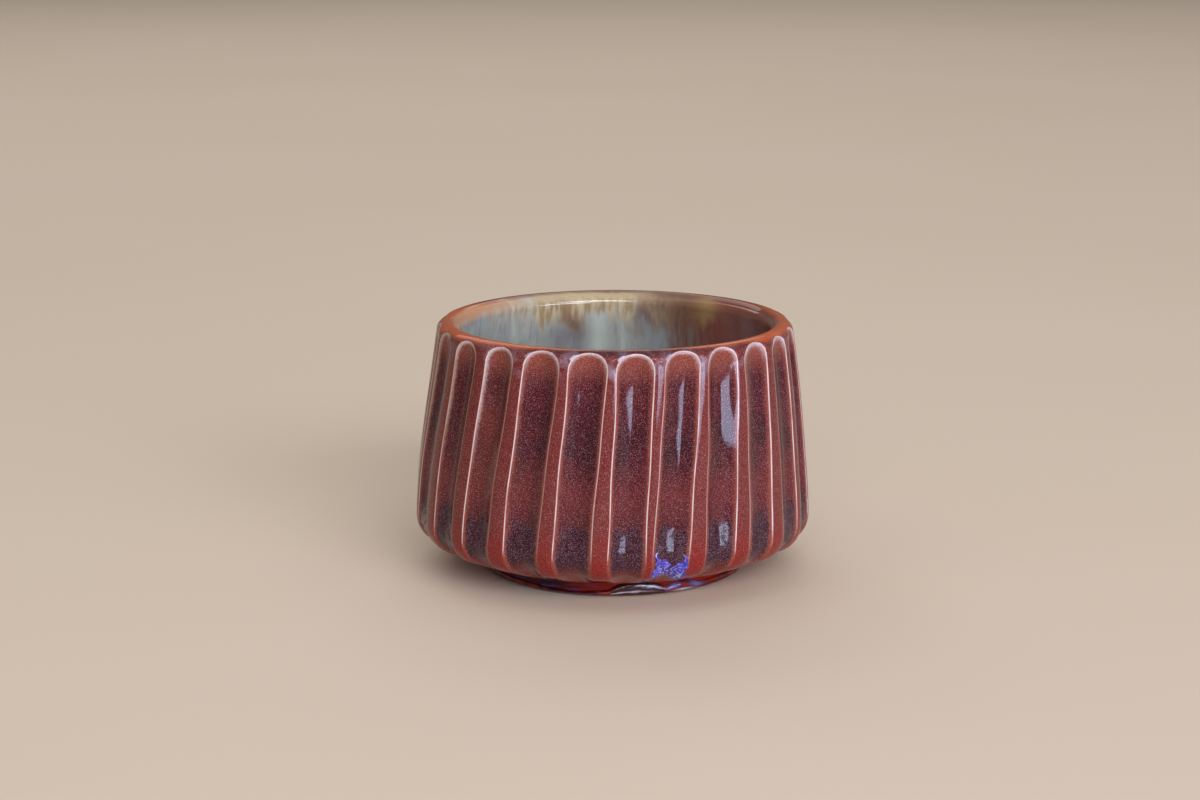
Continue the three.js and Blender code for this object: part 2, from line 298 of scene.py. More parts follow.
def carved(piece, rows, columns, lands, under, softness):
    """Presses the flutes into a turned wall. Gives its points, and each one's row, flute, distance from
    the flute's middle and depth of the cut."""
    inward = right_of(outside, rows + crest)
    wall = at(outside, rows + crest) + inward * under
    points = points_of(piece)
    ring, far = nearest(points, wall)
    moved = far < ON_RING
    row, radius = rows[ring], wall[ring, 0]
    per_flute = len(columns) + lands
    steps = per_flute * FLUTES
    column = np.rint(np.arctan2(points[:, 0], -points[:, 1]) / (2 * math.pi) * steps).astype(int) % steps
    flute, place = column // per_flute, column % per_flute
    after, before = (flute + 1) % FLUTES, (flute - 1) % FLUTES

    def spread(which):
        entry = np.clip((row - FLUTE_START) / half_width(which), 0, 1)
        return half_width(which) * np.maximum(np.sqrt(1 - (1 - entry) ** 2), ARCH_SPREAD) / radius

    own = middle(flute, row)
    to_after = (middle(after, row) - own) % (2 * math.pi)
    to_before = (own - middle(before, row)) % (2 * math.pi)
    room_after = np.minimum(FLUTE_ROOM * to_after / (columns[-1] * (spread(flute) + spread(after))), 1)
    room_before = np.minimum(FLUTE_ROOM * to_before / (columns[-1] * (spread(flute) + spread(before))), 1)
    share = np.array(columns)[np.minimum(place, len(columns) - 1)]
    in_flute = share * spread(flute) * np.where(share > 0, room_after, room_before)
    land_start = columns[-1] * spread(flute) * room_after
    land_end = to_after - columns[-1] * spread(after) * room_after
    on_land = land_start + (land_end - land_start) * (place - len(columns) + 1) / (lands + 1)
    turn = np.where(place < len(columns), in_flute, on_land)

    across = turn * radius
    depth = np.maximum.reduce([
        gouge(flute, across, row, under),
        gouge(after, (turn - to_after) * radius, row, under),
        gouge(before, (turn + to_before) * radius, row, under),
    ])
    sink = eased(depth, softness) * smooth(row, CARVE_START, FLUTE_START)
    base = wall[ring] + inward[ring] * sink[:, None]
    points[moved] = around(own + turn, base[:, 0], base[:, 1])[moved]
    return points, row, flute, across, depth


# rows lie close together at the arches and over the belly's turn
clay_rows = np.concatenate([
    np.linspace(0.5, FLUTE_START + 3, 8),
    np.linspace(FLUTE_START + 4.5, belly_row, 16),
    np.linspace(belly_row + 1, edge_row + 1, 12),
    np.linspace(edge_row + 2, coat_end - 0.3, 8),
])
clay_wall = at(outside, clay_rows + crest) + right_of(outside, clay_rows + crest) * (COAT + SEAT)
clay_inside_rows = np.linspace(0.1, lengths(inside)[-1] - 0.2, 32)
clay_inside = at(inside, clay_inside_rows) + right_of(inside, clay_inside_rows) * (COAT + SEAT)
clay_inside[0, 0] = 0
foot_outer = clay_wall[-1, 0]
foot_inner = foot_outer - FOOT_RING_WIDTH
recess_corner = (foot_inner - RECESS_CORNER, RECESS_DEPTH)
sole = [
    *arc((foot_outer - FOOT_CHAMFER, FOOT_CHAMFER), FOOT_CHAMFER, 0, -90, 4),
    *arc((foot_inner + FOOT_CHAMFER, FOOT_CHAMFER), FOOT_CHAMFER, -90, -170, 4),
    *bend((foot_inner - 0.1, 0.9), (foot_inner - 0.3, RECESS_DEPTH), recess_corner, 4),
    *((r, RECESS_DEPTH - TURNING_RIDGE * (1 - math.cos(TURNING_PACE * r)))
      for r in np.linspace(recess_corner[0] - 0.5, 0.5, 44)),
    (0.0, RECESS_DEPTH),
]
clay_steps = (len(CLAY_COLUMNS) + 1) * FLUTES
body = turned("stoneware_body", [*clay_inside, *clay_wall, *sole], clay_steps)
set_points(body, carved(body, clay_rows, CLAY_COLUMNS, 1, COAT + SEAT, CLAY_SOFTNESS)[0])


class Wire:
    """An output in a material's nodes. Arithmetic on wires and numbers adds Math nodes."""

    def __init__(self, tree, socket):
        self.tree = tree
        self.socket = socket

    def node(self, kind, sockets=None, output=0, **settings):
        """Adds a node with its settings, then the values or links of its sockets, and gives one output."""
        made = self.tree.nodes.new("ShaderNode" + kind)
        for name, value in settings.items():
            setattr(made, name, value)
        for name, value in (sockets or {}).items():
            if isinstance(value, Wire):
                self.tree.links.new(value.socket, made.inputs[name])
            else:
                made.inputs[name].default_value = value
        return Wire(self.tree, made.outputs[output])

    def math(self, operation, *others):
        return self.node("Math", dict(enumerate((self, *others))), operation=operation)

    def __add__(self, other):
        return self.math("ADD", other)

    __radd__ = __add__

    def __sub__(self, other):
        return self.math("SUBTRACT", other)

    def __rsub__(self, other):
        return self * -1.0 + other

    def __mul__(self, other):
        return self.math("MULTIPLY", other)

    __rmul__ = __mul__

    def __truediv__(self, other):
        return self.math("DIVIDE", other)

    def soft(self, low, high):
        """0 at low and 1 at high, with a soft S between."""
        if low > high:
            return 1 - self.soft(high, low)
        sockets = {"Value": self, "From Min": low, "From Max": high}
        return self.node("MapRange", sockets, interpolation_type="SMOOTHSTEP")

    def bell(self, middle, width):
        """1 at the middle, falling off to both sides."""
        away = (self - middle) / width
        return (away * away * -1.0).math("EXPONENT")

    def marked(self, name):
        """What was marked on a piece's points under a name."""
        return self.node("Attribute", output="Fac", attribute_name=name)

    def over(self, amount, colour):
        """This colour with another laid over it."""
        return self.node("Mix", {0: amount, 6: self, 7: colour}, output=2, data_type="RGBA")

    def between(self, first, second):
        """One colour where this is 0 and another where it is 1."""
        return self.node("Mix", {0: self, 6: first, 7: second}, output=2, data_type="RGBA")

    def noise(self, scale, detail=2.0, roughness=0.5):
        """Cloudy noise over this place, about 0.5 on the whole."""
        sockets = {"Vector": self, "Scale": scale, "Detail": detail, "Roughness": roughness}
        return self.node("TexNoise", sockets)

    def dots(self, scale, size, core=0.4):
        """Round dots of a radius in millimetres, scattered over this place and soft outside their core."""
        far = self.node("TexVoronoi", {"Vector": self, "Scale": scale}, output="Distance")
        return far.soft(size * scale, size * scale * core)


def fired(code):
    """A colour written as six hex digits, as a material takes it."""
    parts = [int(code[k:k + 2], 16) / 255 for k in (0, 2, 4)]
    return (*(c / 12.92 if c < 0.04045 else ((c + 0.055) / 1.055) ** 2.4 for c in parts), 1.0)


def finish_on(piece):
    """A new material on a piece: its shader, and the place on the piece in millimetres."""
    material = bpy.data.materials.new(piece.name)
    material.use_nodes = True
    piece.data.materials.append(material)
    tree = material.node_tree
    metres = Wire(tree, tree.nodes.new("ShaderNodeTexCoord").outputs["Object"])
    place = metres.node("VectorMath", {0: metres, "Scale": 1 / MM}, operation="SCALE")
    return tree.nodes["Principled BSDF"], place


def parts_of(place):
    """A place's x, y and z."""
    return [place.node("SeparateXYZ", {0: place}, output=k) for k in range(3)]


def lay(shader, colour, roughness, relief, depth):
    """Links a finish's colour, roughness and relief, whose depth is in millimetres."""
    links = shader.id_data.links
    links.new(colour.socket, shader.inputs["Base Color"])
    links.new(roughness.socket, shader.inputs["Roughness"])
    bump = relief.node("Bump", {"Height": relief, "Distance": depth * MM})
    links.new(bump.socket, shader.inputs["Normal"])


def settle(piece, node):
    """Puts a finished piece on the cup's one body, in the place of its solid."""
    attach(piece, "root")
    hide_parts(node)


CLAY_BROWN = fired("8a6a4c")
CLAY_BUFF = fired("a98762")
CLAY_PALE = fired("c0a281")
CLAY_IRON = fired("4b3222")

shader, place = finish_on(body)
x, y = parts_of(place)[:2]
from_axis = (x * x + y * y).math("SQRT")
grain = place.noise(2.2, 4.0, 0.65)
turning = (from_axis * 5.5 + place.noise(0.15) * 3.0).math("SINE")
colour = place.noise(0.12, 3.0).soft(0.35, 0.65).between(CLAY_BROWN, CLAY_BUFF)
colour = colour.over(grain.soft(0.45, 0.75) * 0.5, CLAY_PALE)
colour = colour.over(place.dots(0.9, 0.16) * 0.8, CLAY_IRON)
lay(shader, colour, 0.8 + grain * 0.15, grain * 0.6 + turning * 0.4, 0.06)
settle(body, "stoneware_body")


# Outer glaze
# A coat of plum-brown glass fused on the fluted outside, over the lip and down to the foot. It breaks pale
# where it ran thin on the flutes' edges, which also carry a painted highlight, pools dark and thick at their
# lower ends, and is speckled all over.
COAT_COLUMNS = (
    -1.12, -1.04, -0.98, -0.92, -0.8, -0.6, -0.4, -0.2, 0, 0.2, 0.4, 0.6, 0.8, 0.92, 0.98, 1.04, 1.12,
)
COAT_LANDS = 3
EDGE_SOFTNESS = 0.3
LIP_COAT = 0.25  # share of the coat's thickness at its end inside the lip
TUCK = 0.25  # how far that end is tucked in towards the clay
TUCK_REACH = 0.6
POOLING = 0.8  # thickness of the glass that gathered at a flute's lower end
POOLING_START = 37.1  # row
POOLING_STAGGER = 0.45  # it starts lower in every other flute and higher between them
POOLING_BOW = 1.3  # over 1, so that its face is a little hollow
POOLING_LIP = 42.4  # the row where it is thickest, just above the belly's turn
POOLING_FALL = 7.0
POOLING_DEPTH = (0.4, 1.5)  # depths of the cut between which it sets in
WAVE = 0.12  # height of the slow waves in the glass down a flute
WAVE_PACE = 0.2  # radians for a millimetre down, and for a flute to the right
WAVE_PHASE = -3.4
WAVE_TOP = (2.5, 9)  # rows between which the waves set in
WAVE_END = (40, 32)
WAVE_DEPTH = (0.3, 1.2)
RIPPLE = 0.007
RIPPLE_PACE = (0.9, 1.3, 2.1)  # down the wall, across a flute and from flute to flute
RIPPLE_TOP = (2, 6)
SHOULDER = (3.1, 2.5)  # a flute's upper left, from its middle and from the crest
SHOULDER_REACH = (1.1, 0.8)
DARK_TOP = (33.5, 40)  # rows between which a flute's dark lower end sets in
DARK_END = (49, 43.5)
DARK_DEPTH = (0.2, 0.8)
CUT_GAIN = 1.3  # the finish reads a cut as deeper than it is, above all where it is shallow
CUT_EASE = 0.2
COAT_GLOSS = 0.2
# orange-red of the lip, partly a painted warm reflection
LIP_RED_AND_REFLECTION = fired("c45d2e")
LIP_BACK = fired("74402f")
LIP_DULL = fired("662d25")
LIP_PLUM = fired("4a1d20")
RUST = fired("8e4637")
PLUM = fired("4e1a1f")
PLUM_DARK = fired("2e1117")
LAND_UPPER = fired("732f29")
# red low on the lands, partly a painted warm reflection
LAND_LOWER_AND_REFLECTION = fired("86231c")
BREAK_RED = fired("8c3a26")
# pale of the edges' break, partly a painted highlight
BREAK_PINK_AND_HIGHLIGHT = fired("e2d6d8")
BREAK_GREY = fired("b5aa9c")
SPECK = fired("bd939e")
VIOLET_SPECK = fired("7c6a94")
GLOW = fired("86322c")
VIOLET = fired("4a3c78")
LAVENDER = fired("d2cee8")
FOOT_RED = fired("8a1d07")


def pooled(flute, row, depth):
    """How thick the glass stands in a flute: what gathered at its lower end, and slow waves above that."""
    front = from_front(flute)
    start = POOLING_START + POOLING_STAGGER * np.cos(math.pi * front)
    climb = np.clip((row - start) / (POOLING_LIP - start), 0, 1) ** POOLING_BOW
    fall = smooth(row, POOLING_LIP + POOLING_FALL, POOLING_LIP)
    gathered = POOLING * climb * fall * smooth(depth, *POOLING_DEPTH)
    waves = WAVE * np.sin(WAVE_PACE * (row + front) + WAVE_PHASE)
    return gathered + waves * smooth(row, *WAVE_TOP) * smooth(row, *WAVE_END) * smooth(depth, *WAVE_DEPTH)


def mark(piece, marks):
    """Writes named values on a piece's points, for its finish to read."""
    for name, values in marks.items():
        attribute = piece.data.attributes.new(name, "FLOAT", "POINT")
        attribute.data.foreach_set("value", values.astype(np.float32))


def thicken(piece, thickness, group=""):
    """Gives the active piece's skin a thickness, behind its face."""
    wall = piece.modifiers.new("wall", "SOLIDIFY")
    wall.thickness = thickness * MM
    wall.offset = -1
    wall.vertex_group = group
    bpy.ops.object.modifier_apply(modifier=wall.name)


# rows lie close together at the lip, the arches, the pools and the turned edge
coat_rows = np.concatenate([
    np.linspace(-crest, -0.5, 10),
    np.linspace(0, FLUTE_START - 0.5, 4),
    np.linspace(FLUTE_START - 0.35, FLUTE_START + 1.8, 12),
    np.linspace(FLUTE_START + 2.2, FLUTE_START + 5, 7),
    np.linspace(FLUTE_START + 6, 34, 18),
    np.linspace(35, edge_row - 1.5, 26),
    np.linspace(edge_row - 1.1, edge_row + 1.1, 10),
    np.linspace(edge_row + 2, coat_end - 5.4, 4),
    np.linspace(coat_end - 4.8, coat_end, 9),
])
coat_steps = (len(COAT_COLUMNS) + COAT_LANDS) * FLUTES
coat = turned("outer_glaze", at(outside, coat_rows + crest), coat_steps)
points, row, flute, across, depth = carved(coat, coat_rows, COAT_COLUMNS, COAT_LANDS, 0, EDGE_SOFTNESS)
ripple = RIPPLE * np.sin(RIPPLE_PACE[0] * row + RIPPLE_PACE[2] * flute)
ripple = ripple * np.sin(RIPPLE_PACE[1] * across + flute) * smooth(row, *RIPPLE_TOP)
tuck = -TUCK * smooth(row, TUCK_REACH - crest, -crest)
out = -right_of(outside, row + crest) * (pooled(flute, row, depth) + ripple + tuck)[:, None]
turn = np.arctan2(points[:, 0], -points[:, 1])
points += around(turn, out[:, 0], out[:, 1])
set_points(coat, points)
step = (middle((flute + 1) % FLUTES, row) - middle(flute, row)) % (2 * math.pi)
to_next = across - step * at(outside, row + crest)[:, 0]
beside = np.minimum(np.abs(across + SHOULDER[0]), np.abs(to_next + SHOULDER[0]))
below = row - SHOULDER[1]
marks = {
    "row": row,
    "cut": depth * CUT_GAIN / (1 + CUT_EASE * np.maximum(depth, 0)),
    "side": across / half_width(flute),
    "shoulder": np.exp(-((beside / SHOULDER_REACH[0]) ** 2) - (below / SHOULDER_REACH[1]) ** 2),
    "dark": smooth(row, *DARK_TOP) * smooth(row, *DARK_END) * smooth(depth, *DARK_DEPTH),
}
mark(coat, marks)
group = coat.vertex_groups.new(name="coat")
weights = np.round(LIP_COAT + (1 - LIP_COAT) * smooth(row, -crest, -1), 3)
for level in np.unique(weights):
    group.add(np.flatnonzero(weights == level).tolist(), float(level), "REPLACE")
thicken(coat, COAT, "coat")


CELADON = fired("a1a6a4")
CELADON_DEEP = fired("909ba4")
CELADON_PALE = fired("c0cac5")
OCHRE = fired("a58557")
OCHRE_PALE = fired("d2be99")
VIOLET_GREY = fired("6f6a7a")
RUN_BROWN = fired("6c4436")
RUN_DARK = fired("88493f")
INNER_LIP = fired("c98a5f")


def inner_colour(place):
    """The colour of the glazes inside the lip, pale blue-grey with ochre and brown runs, and two of its
    patterns: broad streaks and narrow threads."""
    x, y, z = parts_of(place)
    down = CUP_HEIGHT - z
    behind = y.soft(-6, 8)
    strands = place.node("CombineXYZ", {0: x * 0.3, 1: y * 0.3, 2: z * 0.05})
    streak = strands.noise(1.0, 3.0, 0.55)
    thread = (strands.noise(3.2, 2.0, 0.5) - 0.5) * down.soft(0.6, 3.0) + 0.5
    cloud = place.noise(0.06, 2.0)
    blot = place.node("CombineXYZ", {0: x, 1: y, 2: z * 0.55}).noise(0.2, 3.0, 0.55)
    ragged = down + (streak - 0.5) * 5.0 + (blot - 0.5) * 9.0 + (thread - 0.5) * 1.0
    aside = x + (streak - 0.5) * 7.0 + (blot - 0.5) * 8.0

    # the blue-grey ground and its streaks
    colour = down.soft(6, 30).between(CELADON, CELADON_DEEP)
    colour = colour.over(streak.soft(0.5, 0.68) * 0.6, CELADON_PALE)
    colour = colour.over(thread.soft(0.5, 0.75) * 0.35, VIOLET_GREY)

    # ochre under the rim, and the runs at the back from left to right
    ochre = ragged.soft(9.0, 2.5) * (x + (cloud - 0.5) * 30.0).soft(-27, -17)
    colour = colour.over(ochre * 0.85, thread.soft(0.35, 0.65).between(OCHRE, OCHRE_PALE))
    slanted = x - down * 0.5
    colour = colour.over(slanted.bell(-12.5, 2.6) * ragged.bell(6.0, 3.2) * behind * 0.75, RUN_BROWN)
    colour = colour.over(aside.bell(-9.5, 4.0) * ragged.soft(6.5, 9.5) * behind * 0.55, VIOLET_GREY)
    colour = colour.over(x.bell(-3.4, 2.0) * ragged.soft(4.4, 7.0) * behind * 0.8, CELADON_PALE)
    colour = colour.over(x.bell(6.8, 2.2) * ragged.bell(6.5, 3.2) * behind * 0.6, RUN_BROWN)

    # the brown right side, with a pale and an ochre run, and the lip's orange on the left
    colour = colour.over(aside.soft(2.0, 15.0) * (0.55 + thread * 0.6), RUN_BROWN)
    colour = colour.over(aside.bell(9.5, 2.4) * ragged.soft(6.5, 9.0) * behind * 0.75, CELADON_DEEP)
    colour = colour.over(aside.soft(14, 24) * 0.9, RUN_DARK)
    colour = colour.over(x.bell(20.5, 2.4) * ragged.soft(7.0, 4.0) * behind * 0.8, OCHRE)
    left = (x * -1.0).soft(17, 30) * (down + (blot - 0.5) * 4.0).soft(4.0, 1.0)
    return colour.over(left * 0.85, INNER_LIP), streak, thread


shader, place = finish_on(coat)
shader.inputs["Specular IOR Level"].default_value = COAT_GLOSS
x, y, z = parts_of(place)
row, cut, side, shoulder, dark = (place.marked(name) for name in marks)
blotch = place.noise(0.17, 3.0, 0.55)
grit = place.noise(6.5, 1.0, 0.5)
fuzz = place.noise(1.7, 2.0, 0.6)
fine = place.noise(1.5, 3.0, 0.6)
strand = place.node("CombineXYZ", {0: x * 1.6, 1: y * 1.6, 2: z * 0.12}).noise(1.0, 2.0)
frayed = cut + (fuzz - 0.5) * 0.6
in_flute = cut.soft(0.2, 0.9)
land = cut.soft(0.02, -0.16)
low = (z + (blotch - 0.5) * 12.0).soft(21, 7)
facing_us = y.soft(0, -12)
at_front = x.bell(2, 27) * facing_us

# the flutes, plum with dark patches, a warm glow at half height and dark lower ends, and the lands; the
# red low on the lands and over the belly's turn is partly a painted warm reflection
colour = (in_flute * row.soft(2, 10) * (0.7 + blotch * 0.7)).between(RUST, PLUM)
colour = colour.over(z.bell(31, 10) * in_flute * blotch.soft(0.42, 0.6) * 0.75, PLUM_DARK)
colour = colour.over(z.bell(24, 5) * in_flute * (0.12 + blotch * 0.42), GLOW)
colour = colour.over(x.bell(-25, 5) * facing_us * z.bell(34, 10) * in_flute * 0.35, RUST)
gathered = (dark + (place.noise(0.4, 3.0, 0.6) - 0.5) * 1.8).soft(0.4, 0.75)
colour = colour.over(gathered * 0.85, PLUM_DARK)
colour = colour.over(gathered * place.noise(4.0, 1.0).soft(0.57, 0.65) * 0.3, VIOLET_SPECK)
colour = colour.over(row.soft(belly_row + 3, edge_row - 3) * (0.5 + blotch * 0.6), LAND_LOWER_AND_REFLECTION)
colour = colour.over(land, low.between(LAND_UPPER, LAND_LOWER_AND_REFLECTION))

# the lip, orange-red and dull below that; the orange-red is partly a painted warm reflection
colour = colour.over(row.soft(3.0, 1.4) * land, at_front.between(LIP_DULL, LIP_PLUM))
lip_row = row + (blotch - 0.5) * 1.6 + (fuzz - 0.5) * 0.8 + at_front * 2.7
colour = colour.over(lip_row.soft(3.6, 2.0) * land, y.soft(6, 26).between(LIP_RED_AND_REFLECTION, LIP_BACK))

# specks all over
speckled = row.soft(-0.2, 2.2) * (1 - low * land * 0.5)
colour = colour.over(grit.soft(0.57, 0.68) * 0.32 * speckled, SPECK)
colour = colour.over(place.dots(2.7, 0.085) * 0.75 * speckled, SPECK)
colour = colour.over(grit.soft(0.46, 0.34) * 0.6 * speckled, PLUM_DARK)

# the flutes' edges, where thin glass breaks red and then pale; the break is painted brighter, as a
# highlight, on the left edges towards the cup's left and the right edges towards its right
on_right = side.soft(-0.6, 0.6)
highlit_side = x.soft(16, -6) * (1 - on_right) + x.soft(-14, 8) * on_right
break_and_highlight = (0.3 + highlit_side * 0.7) * (0.5 + place.noise(0.16).soft(0.3, 0.6) * 0.5) * (0.8 + fine * 0.5)
# the painted highlight on the pale line ends low on the wall
above = (z + (fuzz - 0.5) * 4.0).soft(10, 15)
colour = colour.over(cut.soft(-0.2, -0.02) * cut.soft(0.3, 0.05) * (0.25 + break_and_highlight * 0.5), BREAK_RED)
pale = ((x + (blotch - 0.5) * 12.0).soft(-27, -36) * z.soft(24, 36)).between(BREAK_PINK_AND_HIGHLIGHT, BREAK_GREY)
line = (frayed - cut) * row.soft(9, 4) * 0.5 + cut
edge = line.soft(-0.03, 0.02) * line.soft(0.24, 0.08) * break_and_highlight * above
colour = colour.over(edge * row.soft(2, 7) * 0.65, pale)
colour = colour.over(edge * 0.6, pale)

# the arches, with a pale halo, wisps, a dusty left side, a painted lavender glint on the shoulders of the
# flutes at the front, and a lavender tint on the front lands by the lip that is partly a painted sheen
arch = row.soft(7.0, 3.0) * (0.6 + fine * 0.5)
colour = colour.over(cut.soft(-0.05, 0.08) * frayed.soft(0.8, 0.05) * arch * 0.58, pale)
wisp = fuzz.soft(0.5, 0.62) * cut.soft(-0.06, 0.04) * cut.soft(0.6, 0.2) * row.soft(4.6, 2.6)
colour = colour.over(wisp * 0.65, LAVENDER)
dusty = (x + (blotch - 0.5) * 14.0).soft(-16, -30) * z.soft(24, 46)
dusty = dusty * cut.soft(0.0, 0.1) * frayed.soft(0.75, 0.1)
colour = colour.over(dusty * (1 - on_right) * 0.6, pale)
# painted glint of a lamp on the front flutes' shoulders
painted_glint = (shoulder + (fuzz - 0.5) * 0.6).soft(0.2, 0.5) * (cut + (fuzz - 0.5) * 0.25).bell(-0.2, 0.19)
colour = colour.over(painted_glint * x.bell(-2, 15) * facing_us * 0.9, LAVENDER)
# lavender tint on the front lands, partly a painted sheen
lavender_tint_and_sheen = land * row.bell(4.5, 3.0) * at_front * place.noise(0.3, 3.0).soft(0.45, 0.65)
colour = colour.over(lavender_tint_and_sheen * 0.3, LAVENDER)

# the foot below the turned edge, and the coat's end inside the lip
veins = place.node("CombineXYZ", {0: x * 0.25, 1: y * 0.25, 2: z * 1.5}).noise(1.0, 3.0, 0.6)
foot = (x + (veins - 0.5) * 14.0).bell(-15, 8).between(FOOT_RED, PLUM_DARK)
foot = foot.over(x.bell(-15, 10) * veins.soft(0.52, 0.6) * 0.6, VIOLET)
colour = colour.over(row.soft(edge_row - 0.3, edge_row + 0.4), foot)
colour = colour.over((row + (blotch - 0.5) * 1.5).soft(-0.4, -1.8), inner_colour(place)[0])

uneven = row.bell(2.8, 0.9) * land * fuzz * 2.5
relief = uneven + fine * 0.1 + strand * 0.16 + blotch * 0.3 + gathered * place.noise(0.6, 2.0) * 0.6
dull = dark.soft(0.1, 0.5) * place.noise(0.75, 3.0, 0.6).soft(0.5, 0.57)
lay(shader, colour, 0.04 + fine * 0.05 + dull * 0.3, relief, 0.04)
settle(coat, "outer_glaze")


# Liner glaze
# Pale blue-grey glass, poured in and swilled round: it covers the floor and the inside wall, shows faint
# throwing rings and streaks, and ends under the outer coat on the lip.
LINER_STEPS = 192
LINER_THICKNESS = 0.4
LINER_SEAT = 0.05
RING_PITCH = 3.4
RING_DEPTH = 0.05
INNER_GLOSS = 0.7

liner_length = lengths(inside)[-1]
lip_start = liner_length - crest  # where the wall ends and the lip's round begins
# rows inside are lengths from the middle of the floor
liner_rows = np.concatenate([
    np.linspace(0, lip_start - 1, 90),
    np.linspace(lip_start - 0.7, liner_length - 0.3, 12),
])
liner_face = at(inside, liner_rows)
tucked = LINER_SEAT + COAT * smooth(liner_rows, lip_start + 0.4, liner_length - 1)
under = np.where(liner_rows > lip_start + 0.3, tucked, 0)
under += RING_DEPTH * (1 + np.sin(liner_rows * 2 * math.pi / RING_PITCH)) / 2
liner_face += right_of(inside, liner_rows) * under[:, None]
liner_face[0, 0] = 0
liner = turned("liner_glaze", liner_face, LINER_STEPS, faces_in=True)
thicken(liner, LINER_THICKNESS)


def inner_finish(piece, has_threads=False):
    """The glazes inside the lip on a piece, raised in narrow threads or else in broad streaks."""
    shader, place = finish_on(piece)
    shader.inputs["Specular IOR Level"].default_value = INNER_GLOSS
    colour, streak, thread = inner_colour(place)
    fine = place.noise(1.8, 3.0, 0.6)
    lay(shader, colour, 0.06 + fine * 0.06, fine * 0.3 + (thread if has_threads else streak), 0.04)


inner_finish(liner)
settle(liner, "liner_glaze")


# Rim band
# A second glaze dipped over the liner just inside the lip. It melted ochre to brown and ran down the wall in
# short tongues, so it is thickest in the runs and thins out to nothing at its edges.
BAND_STEPS = 288
BAND_ROWS = 16
BAND_HEIGHT = 5.0
BAND_OVERLAP = 0.6  # past the start of the lip's round
BAND_RUN = 4.5
BAND_WAVES = ((5, 1.1), (9, 2.3), (14, 0.0))  # runs round the cup, phase
BAND_THICKNESS = 0.3
BAND_FULL = (0.25, 0.7)  # shares of its height between which it is thickest
BAND_EDGE = 0.03
BAND_SEAT = 0.01

wall_end = lip_start + BAND_OVERLAP
shares = np.linspace(0, 1, BAND_ROWS)
band_rows = wall_end - BAND_HEIGHT * shares
ring = np.concatenate([
    at(inside, band_rows) - right_of(inside, band_rows) * BAND_THICKNESS,
    at(inside, band_rows[::-1]),
])
band = turned("rim_glaze_band", ring, BAND_STEPS, is_ring=True)
points = points_of(band)
turn = np.arctan2(points[:, 0], -points[:, 1])
which = nearest(points, ring)[0]
share = np.concatenate([shares, shares[::-1]])[which]
waves = sum(np.sin(count * turn + phase) for count, phase in BAND_WAVES)
reach = BAND_HEIGHT + BAND_RUN * np.maximum(waves / len(BAND_WAVES), 0)
row = wall_end - reach * share
fullness = (1 + smooth(waves, -0.5, 1.5)) / 2
bulge = BAND_THICKNESS * smooth(share, 0, BAND_FULL[0]) * smooth(share, 1, BAND_FULL[1]) * fullness
rise = np.where(which < BAND_ROWS, BAND_EDGE + bulge, BAND_SEAT)
face = at(inside, row) - right_of(inside, row) * rise[:, None]
set_points(band, around(turn, face[:, 0], face[:, 1]))

inner_finish(band, has_threads=True)
settle(band, "rim_glaze_band")


# Flute pool
# Thick blue-violet glass that ran down one flute, to the right of the front, and gathered over the belly's
# turn. It lies on the outer coat, thick along both sides of the flute and thin in its middle.
POOL_FLUTE = 1  # counted from the front
POOL_ROWS = (41.5, 53.0)
POOL_HALF = 3.9
POOL_RISE = 0.25
POOL_SINK = 0.03  # the pool's rim lies this far below the coat's face
POOL_BACK = 0.02  # thickness of its skin
POOL_FLAT = 0.35  # share of a lobe that stands at full height
POOL_TRIM = 1.15  # the mesh ends this far out, where a lobe's edge is 1
POOL_FADE = 1.5
POOL_GRID = (57, 81)
POOL_LOBES = (  # across, row and half sizes
    (-1.3, 48.0, 2.1, 4.9),
    (2.35, 48.3, 1.75, 4.5),
    (-2.7, 45.0, 0.55, 3.6),
    (3.2, 45.3, 0.5, 3.0),
)
POOL_WOBBLE = ((0.3, 1.3, 0), (0.2, 2.9, 1))  # size, pace down the wall, phase
POOL_BLUE = fired("615ad0")
POOL_DEEP = fired("41379a")
POOL_PALE = fired("b9b9de")

bpy.ops.object.select_all(action="DESELECT")
bpy.ops.mesh.primitive_grid_add(x_subdivisions=POOL_GRID[0], y_subdivisions=POOL_GRID[1], size=2)
pool = bpy.context.object
pool.name = pool.data.name = "flute_glaze_pool"
grid = points_of(pool) * MM  # from -1 to 1 both ways
across = grid[:, 0] * POOL_HALF
row = np.interp(-grid[:, 1], (-1, 1), POOL_ROWS)
radius = at(outside, row + crest)[:, 0]
turn = middle(POOL_FLUTE, row) + across / radius
depth = gouge(POOL_FLUTE, across, row, 0)
coat_sink = eased(depth, EDGE_SOFTNESS) - pooled(POOL_FLUTE, row, depth)
wobble = sum(size * np.sin(pace * row + phase) for size, pace, phase in POOL_WOBBLE)
lobes = [((across - u - wobble) / wide) ** 2 + ((row - v) / tall) ** 2 for u, v, wide, tall in POOL_LOBES]
away = np.min(lobes, axis=0)
fade = smooth(row, POOL_ROWS[1], POOL_ROWS[1] - POOL_FADE)
rise = (POOL_RISE + POOL_SINK) * smooth(away, 1, POOL_FLAT) * fade - POOL_SINK
face = at(outside, row + crest) + right_of(outside, row + crest) * (coat_sink - rise)[:, None]
set_points(pool, around(turn, face[:, 0], face[:, 1]))
mark(pool, {"away": away})
bpy.ops.object.mode_set(mode="EDIT")
bpy.ops.mesh.select_mode(type="VERT")
bpy.ops.mesh.select_all(action="DESELECT")
bpy.ops.object.mode_set(mode="OBJECT")
pool.data.vertices.foreach_set("select", away > POOL_TRIM)
bpy.ops.object.mode_set(mode="EDIT")
bpy.ops.mesh.delete(type="VERT")
bpy.ops.mesh.select_all(action="SELECT")
bpy.ops.mesh.normals_make_consistent(inside=False)
bpy.ops.object.mode_set(mode="OBJECT")
bpy.ops.object.shade_smooth()
thicken(pool, POOL_BACK)

